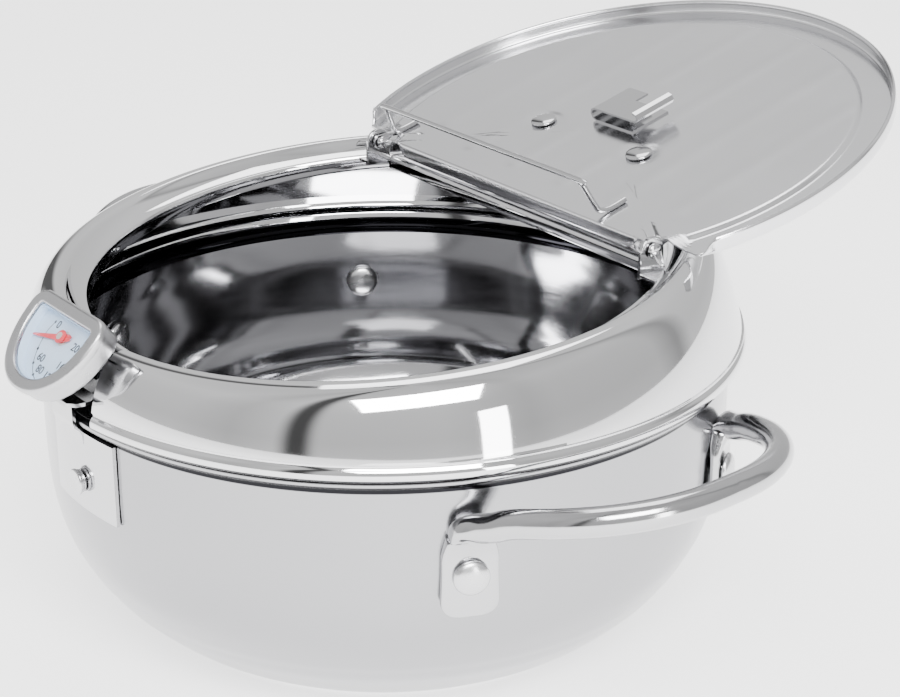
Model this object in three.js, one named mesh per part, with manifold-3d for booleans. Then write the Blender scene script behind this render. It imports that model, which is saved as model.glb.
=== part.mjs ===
// Stovetop deep-frying pot with domed ring cover, folding drain lid and dial thermometer.
// Millimetres, +Z up, origin at the centre of the flat underside. Hinge at +Y, thermometer at -Y,
// side handles near +X and -X. The lid is shown folded back (its rest position).
import * as THREE from 'three';
import { mergeVertices } from 'three/addons/utils/BufferGeometryUtils.js';
import Module from 'manifold-3d';

// ---------------------------------------------------------------- driving dimensions
const RIM_Z = 100.0;            // plane between pot rim and ring cover
const WALL_R = 121.3;           // outer radius of the upper pot wall
const WALL_T = 1.2;             // pot sheet thickness
const GAP = 0.3;                // clearance between touching pieces
const RING_R = 126.6;           // outer radius of the ring cover's foot
const FOLD_R = 101.1;           // radius of the ring cover's opening
const FOLD_Y = -3.4;            // the opening's centre, toward the user
const FOLD_H = 28.07;           // height of the opening above RIM_Z, on the axis
const SLOPE = 0.093;            // rise of the opening per mm toward the hinge
const RING_T = 1.2;             // ring cover sheet
const DECK_Y = 58.5;            // front edge of the fixed rear deck
const NOTCH_HALF = 15;          // half width of the front notch for the thermometer
const NOTCH_R = 107.2;          // inner radius of that notch
const HINGE_Y = 53.0, HINGE_Z = 140.5;   // hinge axis, parallel to X
const EAR_X = 79.0;             // middle of the hinge ears
const LID_OPEN = 15.15;         // tilt of the folded-back lid, degrees above level
const LID_R = 105.2, LID_C = 51.7;       // lid radius, hinge axis to lid centre
const LID_CHORD = 2.9;          // hinge axis to the straight lid edge
const YAW_RIGHT = 4.0, YAW_LEFT = 177.0; // direction of each side handle, degrees
const LEFT_LIFT = 7.0;          // the left handle is riveted this much higher
const HANDLE_REACH = 163.1;     // axis of the pot to the middle of the grip's rod
const ROD_R = 4.7;              // handle rod radius
const TAB_ANG = 27.7;           // handle tabs, degrees to each side of the handle's middle
const TAB_R = 121.3 + GAP + 1.7;         // middle of the tab plate
const RIVET_Z = 66.0;           // height of the handle rivets
const HEAD_Y = -129.0, HEAD_Z = 130.0;   // pointer axis at the thermometer's front face
const HEAD_TILT = 45;           // face of the thermometer, degrees above the horizon
const HEAD_D = 9.3;             // depth of the thermometer case
const STEM_L = 112;             // thermometer face to probe tip
const NEEDLE_REST = 194.6;      // pointer direction at room temperature, degrees on the face

const wasm = await Module();
wasm.setup();

// ---------------------------------------------------------------- helpers
const SEG = 54;                 // facets of the large round pieces
const rad = (d) => (d * Math.PI) / 180;
const steel = (color, roughness) => new THREE.MeshStandardMaterial({ color, roughness, metalness: 1 });
const SATIN = steel(0xb9babb, 0.34), MIRROR = steel(0xcfd1d3, 0.08), BRIGHT = steel(0xc9cbcd, 0.16), WIRE = steel(0xc6c8ca, 0.2);

function solid(geo) {
  const g = (geo.index ? geo : geo).clone();
  g.deleteAttribute('normal'); g.deleteAttribute('uv');
  const m = mergeVertices(g, 1e-4);
  return new wasm.Manifold(new wasm.Mesh({ numProp: 3, vertProperties: new Float32Array(m.attributes.position.array), triVerts: new Uint32Array(m.index.array) }));
}
function geometry(man) {
  const mesh = man.getMesh(), n = mesh.numProp, c = mesh.vertProperties.length / n;
  const pos = new Float32Array(c * 3);
  for (let i = 0; i < c; i++) for (let k = 0; k < 3; k++) pos[3 * i + k] = mesh.vertProperties[n * i + k];
  const g = new THREE.BufferGeometry();
  g.setAttribute('position', new THREE.BufferAttribute(pos, 3));
  g.setIndex(new THREE.BufferAttribute(new Uint32Array(mesh.triVerts), 1));
  g.computeVertexNormals();
  return g;
}
const xf = (geo, f) => { f(geo); return geo; };
// a lathe about +Z from [r, z] pairs (counter-clockwise in the r-z plane when the outside faces out)
function lathe(points, seg) {
  const g = new THREE.LatheGeometry(points.map(([r, z]) => new THREE.Vector2(r, z)), seg);
  g.rotateX(Math.PI / 2);
  return g;
}
const closed = (p) => [...p, p[0]];
const shapeOf = (pts) => new THREE.Shape(pts.map(([x, y]) => new THREE.Vector2(x, y)));
function prism(pts, z0, z1, holes = []) {
  const s = shapeOf(pts);
  for (const h of holes) s.holes.push(new THREE.Path(h.map(([x, y]) => new THREE.Vector2(x, y))));
  const g = new THREE.ExtrudeGeometry(s, { depth: z1 - z0, bevelEnabled: false });
  g.translate(0, 0, z0);
  return g;
}
function cyl(r, z0, z1, seg = 20) {
  const g = new THREE.CylinderGeometry(r, r, z1 - z0, seg);
  g.rotateX(Math.PI / 2); g.translate(0, 0, (z0 + z1) / 2);
  return g;
}
function box(x0, x1, y0, y1, z0, z1) {
  const g = new THREE.BoxGeometry(x1 - x0, y1 - y0, z1 - z0);
  g.translate((x0 + x1) / 2, (y0 + y1) / 2, (z0 + z1) / 2);
  return g;
}
const circle = (cx, cy, r, n) => Array.from({ length: n }, (_, i) => [cx + r * Math.cos((2 * Math.PI * i) / n), cy + r * Math.sin((2 * Math.PI * i) / n)]);
function roundRect(x0, y0, x1, y1, r, n = 4) {
  const out = [];
  for (const [cx, cy, a0] of [[x1 - r, y1 - r, 0], [x0 + r, y1 - r, 90], [x0 + r, y0 + r, 180], [x1 - r, y0 + r, 270]])
    for (let i = 0; i <= n; i++) { const a = rad(a0 + (90 * i) / n); out.push([cx + r * Math.cos(a), cy + r * Math.sin(a)]); }
  return out;
}
function tube(points, r, sides, steps, tension = 0.5) {
  const curve = new THREE.CatmullRomCurve3(points.map((p) => new THREE.Vector3(...p)), false, 'centripetal', tension);
  return new THREE.ExtrudeGeometry(shapeOf(circle(0, 0, r, sides)), { steps, extrudePath: curve, bevelEnabled: false });
}
// a sheet strip of thickness t along a polyline of [a, b] pairs, as a closed outline
function strip(pts, t) {
  const L = [], R = [];
  for (let i = 0; i < pts.length; i++) {
    const p = pts[Math.max(0, i - 1)], q = pts[Math.min(pts.length - 1, i + 1)];
    let dx = q[0] - p[0], dy = q[1] - p[1]; const d = Math.hypot(dx, dy); dx /= d; dy /= d;
    L.push([pts[i][0] - (dy * t) / 2, pts[i][1] + (dx * t) / 2]);
    R.push([pts[i][0] + (dy * t) / 2, pts[i][1] - (dx * t) / 2]);
  }
  return [...L, ...R.reverse()];
}

const fryer = new THREE.Group();
function add(parent, name, geo, material) {
  const m = new THREE.Mesh(geo.isBufferGeometry ? geo : geometry(geo), material);
  m.name = name; parent.add(m);
  return m;
}

// ---------------------------------------------------------------- pot
const outer = [[84.5, 2.9], [88.0, 4.0], [92.0, 6.4], [95.6, 9.3], [100.4, 13.7], [105.2, 18.6], [108.8, 23.5], [112.0, 28.3], [116.6, 37.5], [119.4, 47.5], [120.8, 58], [WALL_R, 70], [WALL_R, 95.6]];
const bead = [[122.6, 96.0], [123.8, 97.0], [124.1, 98.1], [123.7, 99.2], [122.5, 99.8], [121.0, 99.7]];
const inner = [];
for (let i = outer.length - 1; i >= 0; i--) {
  const a = outer[Math.max(0, i - 1)], b = outer[Math.min(outer.length - 1, i + 1)];
  const dr = b[0] - a[0], dz = b[1] - a[1], d = Math.hypot(dr, dz);
  inner.push([outer[i][0] - (dz / d) * WALL_T, outer[i][1] + (dr / d) * WALL_T]);
}
inner[0] = [WALL_R - WALL_T, 99.0];
inner[inner.length - 1] = [84.0, 2.9 + WALL_T];
let pot = solid(lathe([[0, 2.9], ...outer, ...bead, ...inner, [0, 2.9 + WALL_T]], SEG));

// five rivet holes through the wall
const place = (geo, angle, r, z) => { // +Z of the piece becomes the outward radial direction
  geo.rotateX(Math.PI / 2); geo.rotateZ(Math.PI); // +Z -> -Y -> +Y
  geo.rotateZ(rad(angle) - Math.PI / 2);
  geo.translate(r * Math.cos(rad(angle)), r * Math.sin(rad(angle)), z);
  return geo;
};
const tabAngles = { right_front: [YAW_RIGHT - TAB_ANG, RIVET_Z], right_rear: [YAW_RIGHT + TAB_ANG, RIVET_Z], left_rear: [YAW_LEFT - TAB_ANG, RIVET_Z + LEFT_LIFT], left_front: [YAW_LEFT + TAB_ANG, RIVET_Z + LEFT_LIFT] };
for (const [a, z] of Object.values(tabAngles)) pot = pot.subtract(solid(place(cyl(2.9, -8, 8, 14), a, WALL_R, z)));
const BRACKET_RIVET_Z = 76;
pot = pot.subtract(solid(place(cyl(2.4, -8, 8, 14), -90, WALL_R, BRACKET_RIVET_Z)));
add(fryer, 'pot_body', pot, SATIN);

// bonded base plate with a chamfered edge
add(fryer, 'base_disc', lathe([[0, 0], [82.0, 0], [83.4, 0.9], [83.4, 2.0], [82.8, 2.6], [0, 2.6]], SEG), SATIN);

// ---------------------------------------------------------------- side handles
// Local frame: +X out through the middle of the grip, Y along the grip.
function handlePath(rise) {
  const w0 = 58.8, w1 = 38.9, x0 = WALL_R * Math.cos(rad(TAB_ANG)) + 3.0;
  const A = new THREE.Vector2(x0, -w0), B = new THREE.Vector2(HANDLE_REACH, -w1);
  const u = A.clone().sub(B).normalize(), v = new THREE.Vector2(0, 1), ang = Math.acos(u.dot(v));
  const d = Math.min(49.7 / Math.tan(ang / 2), 0.98 * w1, 0.95 * A.distanceTo(B)), R = d * Math.tan(ang / 2), h = (4 / 3) * Math.tan((Math.PI - ang) / 4) * R;
  const s = B.clone().addScaledVector(u, d), e = B.clone().addScaledVector(v, d);
  const c = new THREE.CubicBezierCurve(s, s.clone().addScaledVector(u, -h), e.clone().addScaledVector(v, -h), e);
  const half = [A.clone(), A.clone().lerp(s, 0.3), A.clone().lerp(s, 0.7)];
  for (let k = 0; k <= 8; k++) half.push(c.getPoint(k / 8));
  const z = (x) => 82.4 + (96.4 + rise - 82.4) * Math.max(0, (x - x0) / (HANDLE_REACH - x0)) ** 0.7;
  const all = [...half, ...half.map((p) => new THREE.Vector2(p.x, -p.y)).reverse().slice(e.y > -0.5 ? 1 : 0)];
  return all.map((p) => [p.x, p.y, z(p.x)]);
}
function handle(side) {
  let h = solid(tube(handlePath(side < 0 ? 3 : 0), ROD_R, 10, 40));
  for (const s of [-1, 1]) {
    // flattened, pierced end of the rod, lying against the wall
    const outline = [[-9.2, 57], [-7.0, 53.2], [-3.0, 51.2], [3.0, 51.2], [7.0, 53.2], [9.2, 57], [9.4, 70], [8.2, 79], [6.0, 85.5], [3.0, 87.6], [-3.0, 87.6], [-6.0, 85.5], [-8.2, 79], [-9.4, 70]]
      .map(([x, z]) => [x, z - RIVET_Z]);
    const tab = prism(outline, -1.6, 1.6, [circle(0, 0, 2.9, 14).reverse()]);
    // the outline's y axis is vertical, its normal radial
    tab.rotateX(Math.PI / 2); tab.rotateZ(Math.PI / 2);
    tab.translate(TAB_R, 0, RIVET_Z);
    tab.rotateZ(rad(s * TAB_ANG));
    h = h.add(solid(tab));
  }
  // keep the rod's cut end clear of the wall
  h = h.subtract(solid(cyl(WALL_R + GAP, 40, 120, 90)));
  const g = geometry(h);
  g.translate(0, 0, side < 0 ? LEFT_LIFT : 0);
  g.rotateZ(rad(side < 0 ? YAW_LEFT : YAW_RIGHT));
  return g;
}
add(fryer, 'handle_right', handle(1), BRIGHT);
add(fryer, 'handle_left', handle(-1), BRIGHT);

// rivets: inside head, shank, domed outside head, in one piece
function rivet(rOut, hOut, shank, rIn, hIn, grip0, grip1) {
  return lathe([[0, grip0 - hIn], [rIn * 0.6, grip0 - hIn * 0.8], [rIn, grip0 - 0.3], [rIn, grip0], [shank, grip0], [shank, grip1], [rOut, grip1], [rOut, grip1 + 0.4], [rOut * 0.65, grip1 + hOut * 0.85], [0, grip1 + hOut]], 14);
}
for (const [k, [a, z]] of Object.entries(tabAngles))
  add(fryer, `handle_rivet_${k}`, place(rivet(5.9, 3.0, 2.55, 6.2, 2.6, -WALL_T - 0.75, GAP + 3.3 + 0.35), a, WALL_R, z), BRIGHT);

// ---------------------------------------------------------------- thermometer bracket on the front wall
{
  const rIn = WALL_R + GAP + 0.05, rOut = rIn + 1.2;
  const arc = [];
  for (let i = 0; i <= 10; i++) { const a = rad(-90 - 10 + 2 * i); arc.push([rOut * Math.cos(a), rOut * Math.sin(a)]); }
  for (let i = 10; i >= 0; i--) { const a = rad(-90 - 10 + 2 * i); arc.push([rIn * Math.cos(a), rIn * Math.sin(a)]); }
  let b = solid(prism(arc, 60, 95));
  // plate with bevelled lower corners
  let plate = b;
  const cut = (x0, x1, z0, z1) => solid(box(x0, x1, -130, -115, z0, z1));
  for (const s of [-1, 1]) { // lower corners cut at 45 degrees in two facets
    const c = solid(xf(box(-5, 5, -130, -115, -5, 5), (g) => { const p = g.attributes.position; for (let i = 0; i < p.count; i++) { const x = p.getX(i), z = p.getZ(i); p.setX(i, (x + z) * 0.7071); p.setZ(i, (z - x) * 0.7071); } g.translate(s * (19.5 + 3.6), 0, 66 - 3.6); }));
    plate = plate.subtract(c);
  }
  plate = plate.subtract(cut(19.5, 30, 55, 100)).subtract(cut(-30, -19.5, 55, 100)).subtract(cut(-30, 30, 55, 66)).subtract(cut(-30, 30, 94.2, 100));
  // neck: rises outside the rim bead, then carries the forked rest
  const neckLine = [[-122.3, 90], [-122.6, 93.4], [-123.6, 95.2], [-125.2, 96.6], [-125.6, 98.4], [-125.6, 109.2]];
  const neck = prism(strip(neckLine, 1.2), -11, 3);      // y-z outline, extruded along x
  neck.applyMatrix4(new THREE.Matrix4().set(0, 0, 1, 0, 1, 0, 0, 0, 0, 1, 0, 0, 0, 0, 0, 1));
  const restLine = [[-132.8, 109.9], [-129, 108.7], [-125.6, 108.4], [-121, 108.9], [-116.6, 110.6], [-112.2, 112.6], [-108.2, 114.6]];
  const rest = prism(strip(restLine, 1.2), -12.8, 12.8);
  rest.applyMatrix4(new THREE.Matrix4().set(0, 0, 1, 0, 1, 0, 0, 0, 0, 1, 0, 0, 0, 0, 0, 1));
  let br = plate.add(solid(neck)).add(solid(rest));
  br = br.subtract(solid(box(-3.4, 3.4, -116.9, -100, 95, 130)));                   // fork for the probe
  br = br.subtract(solid(place(cyl(2.4, -8, 8, 14), -90, WALL_R, BRACKET_RIVET_Z)));
  br = br.subtract(solid(lathe([[0, 60], [WALL_R + GAP, 60], [WALL_R + GAP, 95.3], [124.45, 95.9], [124.45, 100.3], [0, 100.3]], 72)));
  add(fryer, 'thermometer_bracket', br, BRIGHT);
  add(fryer, 'bracket_rivet', place(rivet(4.4, 2.4, 2.05, 4.8, 1.8, -WALL_T - 0.6, GAP + 1.3 + 0.3), -90, WALL_R, BRACKET_RIVET_Z), BRIGHT);
}

// ---------------------------------------------------------------- ring cover
// Drawn as a round dome, then sheared so that the opening slopes up toward the hinge.
// Each outline point carries how far it follows the slope (tilt) and the forward offset (shift).
const bez = (t, a, b, c, d) => (1 - t) ** 3 * a + 3 * (1 - t) ** 2 * t * b + 3 * (1 - t) * t * t * c + t ** 3 * d;
const domeTop = [];
for (const t of [0.26, 0.37, 0.47, 0.56, 0.64, 0.71, 0.77, 0.82, 0.86, 0.885, 0.91, 0.955, 1]) {
  const seat = t > 0.86 ? -2.2 * Math.sin(Math.PI * Math.min(1, (1 - t) / 0.14)) ** 0.7 : 0;   // step the closed lid sits in
  domeTop.push([bez(t, 126.5, 127.3, FOLD_R + 19.1, FOLD_R), RIM_Z + bez(t, 3, 3 - 0.32 * 25, FOLD_H + 23.1, FOLD_H) + seat, bez(t, 0, -0.32, 1, 1), bez(t, 0, 0, 1, 1)]);
}
const lip = [[FOLD_R - 0.5, RIM_Z + FOLD_H - 1.3, 1, 1], [FOLD_R - 0.5, RIM_Z + FOLD_H - 5.5, 1, 1]];
const outside = [...domeTop, ...lip], inside = [];
for (let i = outside.length - 1; i >= 0; i--) {
  const a = outside[Math.max(0, i - 1)], b = outside[Math.min(outside.length - 1, i + 1)];
  const dr = b[0] - a[0], dz = b[1] - a[1], d = Math.hypot(dr, dz);
  inside.push([outside[i][0] - (dz / d) * RING_T, outside[i][1] + (dr / d) * RING_T, outside[i][2], outside[i][3]]);
}
inside[0] = [FOLD_R - 0.5 + RING_T, RIM_Z + FOLD_H - 5.5, 1, 1];
const flat = (list) => list.map(([r, z]) => [r, z, 0, 0]);
const ringProfile = [...flat([[122.0, RIM_Z + 0.1], [126.2, RIM_Z + 0.1], [127.0, 101.2], [127.0, 102.8], [126.4, 104.2], [125.5, 104.9], [126.1, 106.0]]), ...outside, ...inside,
  ...flat([[124.4, 106.0], [123.6, 103.4], [117.9, 103.4], [117.9, 94.8], [118.3, 94.3], [119.0, 94.3], [119.3, 94.8], [119.3, 102.0], [122.0, 102.0]])];
const ringGeo = lathe(closed(ringProfile), SEG);
{
  const p = ringGeo.attributes.position, n = ringProfile.length + 1;
  for (let i = 0; i < p.count; i++) {
    const [, , tilt, shift] = ringProfile[(i % n) % ringProfile.length];
    const y = p.getY(i) + FOLD_Y * shift;
    p.setY(i, y); p.setZ(i, p.getZ(i) + SLOPE * y * tilt);
  }
}
let ring = solid(ringGeo);
const shear = (geo) => { const p = geo.attributes.position; for (let i = 0; i < p.count; i++) p.setZ(i, p.getZ(i) + SLOPE * p.getY(i)); return geo; };
{ // rear deck: a segment of the opening, with its front edge turned down
  const R = FOLD_R + 0.4, seg = [];
  const a0 = Math.asin((DECK_Y - FOLD_Y) / R);
  for (let i = 0; i <= 24; i++) { const a = a0 + ((Math.PI - 2 * a0) * i) / 24; seg.push([R * Math.cos(a), FOLD_Y + R * Math.sin(a)]); }
  ring = ring.add(solid(shear(prism(seg, RIM_Z + FOLD_H - 1.6, RIM_Z + FOLD_H - 0.4))));
  const hw = R * Math.cos(a0) - 0.4;
  ring = ring.add(solid(shear(box(-hw, hw, DECK_Y, DECK_Y + 1.2, RIM_Z + FOLD_H - 5.4, RIM_Z + FOLD_H - 0.8))));
}
for (const s of [-1, 1]) { // hinge ears, with a foot that reaches the crest of the dome
  const ear = [[-5.2, -9.6], [5.4, -9.6], [4.6, 0.6], [3.4, 3.2], [1.6, 4.5], [-1.6, 4.5], [-3.4, 3.2], [-4.4, 0.6]];
  const g = prism(ear, -0.7, 0.7, [circle(0, 0, 1.75, 14).reverse()]);
  g.applyMatrix4(new THREE.Matrix4().set(0, 0, 1, 0, 1, 0, 0, 0, 0, 1, 0, 0, 0, 0, 0, 1));
  g.translate(s * EAR_X, HINGE_Y, HINGE_Z);
  ring = ring.add(solid(g));
  ring = ring.add(solid(box(Math.min(s * 78.3, s * 87), Math.max(s * 78.3, s * 87), 48.8, 59.8, 131.2, 132.6)));
}
// front notch: outside the bridge at the fold, open downward
{
  const n = solid(box(-NOTCH_HALF, NOTCH_HALF, -140, -90, 90, 150)).subtract(solid(xf(cyl(NOTCH_R, 80, 160, 120), (g) => g.translate(0, FOLD_Y + 0.0, 0))));
  ring = ring.subtract(n);
  ring = ring.subtract(solid(box(-NOTCH_HALF, NOTCH_HALF, -140, -90, 90, 104.0)));
}
add(fryer, 'ring_cover', ring, MIRROR);

for (const [k, s] of [['left', -1], ['right', 1]]) {
  const g = lathe([[0, -4.6], [1.9, -4.3], [2.3, -3.6], [2.3, -3.1], [1.4, -3.1], [1.4, 1.15], [2.7, 1.15], [2.7, 1.8], [1.9, 2.6], [0, 2.9]], 14);
  g.rotateY((s * Math.PI) / 2);
  g.translate(s * EAR_X, HINGE_Y, HINGE_Z);
  add(fryer, `hinge_pin_${k}`, g, BRIGHT);
}

// ---------------------------------------------------------------- lid, in its own frame
// x along the hinge, y away from the hinge, z out of the inner face; folded back at rest.
const lid = new THREE.Group();
lid.position.set(0, HINGE_Y, HINGE_Z);
lid.rotation.x = rad(LID_OPEN);
fryer.add(lid);
const LID_EDGE = 3.4;          // height of the turned-up rim above the hinge plane
{
  const T = 0.9, prof = [[0, -T - 0.2], [90, -T - 0.2], [92.5, -T - 1.6], [102.6, -T - 1.7], [LID_R - 0.9, -T - 1.2], [LID_R, -T + 0.4], [LID_R, LID_EDGE - 0.5], [LID_R - 0.45, LID_EDGE], [LID_R - 0.9, LID_EDGE - 0.5], [LID_R - 0.9, -0.2], [102.6, -0.8], [93.3, -0.8], [90.8, -0.2], [0, -0.2]];
  let L = solid(xf(lathe(prof, SEG), (g) => g.translate(0, LID_C, 0)));
  L = L.subtract(solid(box(-130, 130, -80, LID_CHORD, -20, 20)));
  for (const s of [-1, 1]) {
    L = L.subtract(solid(box(Math.min(s * 88.5, s * 130), Math.max(s * 88.5, s * 130), -80, 8, -20, 20)));   // clipped corners
    L = L.subtract(solid(box(Math.min(s * 73.8, s * 84.4), Math.max(s * 73.8, s * 84.4), -80, 7.4, -20, 20)));  // clearance round the ring's ears
  }
  // drain ribs
  for (const [x, y0, y1] of [[-65, 22, 112], [-39, 14, 34], [-39, 52, 132], [-13, 14, 49], [-13, 88, 143], [15, 14, 38], [15, 58, 143], [42, 14, 132], [68, 22, 112]]) {
    const rib = prism(roundRect(x - 2.4, y0, x + 2.4, y1, 2.39, 3), -0.5, 0.7);
    L = L.add(solid(rib));
  }
  // turned edge along the hinge
  const fl = strip([[LID_CHORD + 1.6, -0.65], [LID_CHORD + 0.75, -0.9], [LID_CHORD + 0.5, -1.8], [LID_CHORD + 0.5, -4.9]], 0.9);
  const flange = prism(fl, -67, 67);
  flange.applyMatrix4(new THREE.Matrix4().set(0, 0, 1, 0, 1, 0, 0, 0, 0, 1, 0, 0, 0, 0, 0, 1));
  L = L.add(solid(flange));
  // hinge knuckles of the lid, inside the ring's ears
  for (const s of [-1, 1]) {
    const k = prism([[-2.9, -1.6], [-1.4, -3.0], [1.4, -3.0], [8.2, -1.9], [12, -0.9], [12, -0.2], [6, 0.6], [2.6, 2.4], [1.2, 3.1], [-1.2, 3.1], [-2.9, 1.4]], -0.55, 0.55, [circle(0, 0, 1.7, 14).reverse()]);
    k.applyMatrix4(new THREE.Matrix4().set(0, 0, 1, 0, 1, 0, 0, 0, 0, 1, 0, 0, 0, 0, 0, 1));
    k.translate(s * 77.2, 0, 0);
    L = L.add(solid(k));
    L = L.add(solid(box(Math.min(s * 73.0, s * 77.75), Math.max(s * 73.0, s * 77.75), 7.2, 13, -1.1, -0.2)));
  }
  for (const x of [-29.5, 24.5]) L = L.subtract(solid(xf(cyl(2.0, -20, 20, 14), (g) => g.translate(x, 44.5, 0))));
  add(lid, 'lid_plate', L, BRIGHT);
}
const LR = [-29.5, 24.5];
// strap handle on the outer face, held by the two rivets
{
  const z0 = -1.1 - GAP, zb = z0 - 9.3, a = LR[0] - 6, b = LR[1] + 6;
  const line = [[a, z0 - 0.7], [LR[0] + 5.0, z0 - 0.7], [LR[0] + 7.2, z0 - 2.4], [LR[0] + 9.2, zb + 2.0], [LR[0] + 11.4, zb + 0.7], [LR[1] - 11.4, zb + 0.7], [LR[1] - 9.2, zb + 2.0], [LR[1] - 7.2, z0 - 2.4], [LR[1] - 5.0, z0 - 0.7], [b, z0 - 0.7]];
  const g = prism(strip(line, 1.4), -(44.5 + 5.5), -(44.5 - 5.5));
  g.rotateX(Math.PI / 2);
  let h = solid(g);
  for (const x of LR) h = h.subtract(solid(xf(cyl(2.0, -20, 20, 14), (q) => q.translate(x, 44.5, 0))));
  add(lid, 'lid_handle', h, BRIGHT);
  for (const [i, x] of LR.entries()) {
    const r = rivet(4.9, 1.7, 1.7, 4.2, 1.3, -1.1 - GAP - 1.4 - GAP, -0.2 + GAP);
    r.translate(x, 44.5, 0);
    add(lid, `lid_rivet_${i + 1}`, r, BRIGHT);
  }
}
// bent clip on the inner face
{
  const cx = 1, y0 = 54.5, y1 = 73, b = -0.2 + GAP + 0.4;
  const line = [[cx + 9, b], [cx - 11, b], [cx - 12.8, b + 0.8], [cx - 13.4, b + 2.5], [cx - 12.8, b + 4.2], [cx - 11, b + 5.0], [cx + 10, b + 5.0], [cx + 12.2, b + 5.3], [cx + 13.3, b + 6.6], [cx + 12.6, b + 7.9], [cx + 11, b + 8.4]];
  const g = prism(strip(line, 0.8), -y1, -y0);
  g.rotateX(Math.PI / 2);
  let c = solid(g);
  c = c.subtract(solid(box(cx - 1, cx + 9.2, y1 - 6.5, y1 + 4, b + 3.5, b + 7)));
  add(lid, 'lid_clip', c, BRIGHT);
}
// wire fence along the hinge edge
{
  const z = 1.0, base = LID_CHORD + 2.6;
  const pts = [[-75, base + 12, z + 0.35], [-75, base + 5, z + 0.35], [-74.7, base + 1.2, z + 1.2], [-74, base, z + 3.2], [-72.6, base - 1.6, 11.5], [-71.8, base - 2.0, 13.6], [-69.6, base - 2.2, 14.6], [-14, base - 2.2, 14.6], [40.4, base - 2.2, 14.6], [42.6, base - 2.0, 13.6], [43.6, base - 1.6, 11.5], [45.6, base, z + 3.2], [46.4, base + 1.2, z + 1.2], [47, base + 5, z + 0.35], [47, base + 12, z + 0.35]];
  add(lid, 'wire_fence', tube(pts, 1.05, 8, 44), WIRE);
}

// ---------------------------------------------------------------- thermometer, in its own frame
// x across the face, y up the face, z out of it; origin on the pointer axis at the front plane.
const head = new THREE.Group();
head.position.set(0, HEAD_Y, HEAD_Z);
head.rotation.x = rad(HEAD_TILT);
fryer.add(head);
// D outline: straight top, rounded upper corners, sides closing to a round bottom; d = inset
function dee(d, n = 1) {
  const W = 22 - d, top = 10.95 - d, bot = -21.55 + d, cy = 3.4, rc = Math.max(1.5, 6.5 - d);
  const pts = [];
  for (let i = 0; i <= 5; i++) { const a = rad(90 * i / 5); pts.push([W - rc + rc * Math.cos(a), top - rc + rc * Math.sin(a)]); }
  for (let i = 0; i <= 5; i++) { const a = rad(90 + 90 * i / 5); pts.push([-W + rc + rc * Math.cos(a), top - rc + rc * Math.sin(a)]); }
  const e = 2.15;
  for (let i = 0; i <= 20; i++) {
    const a = rad(180 + (180 * i) / 20), c = Math.cos(a), s = Math.sin(a);
    pts.push([W * Math.sign(c) * Math.abs(c) ** (2 / e), cy + (cy - bot) * Math.sign(s) * Math.abs(s) ** (2 / e)]);
  }
  const out = [];
  for (const p of pts) if (!out.length || Math.hypot(p[0] - out[out.length - 1][0], p[1] - out[out.length - 1][1]) > 0.05) out.push(p);
  if (Math.hypot(out[0][0] - out[out.length - 1][0], out[0][1] - out[out.length - 1][1]) < 0.05) out.pop();
  return out;
}
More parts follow.
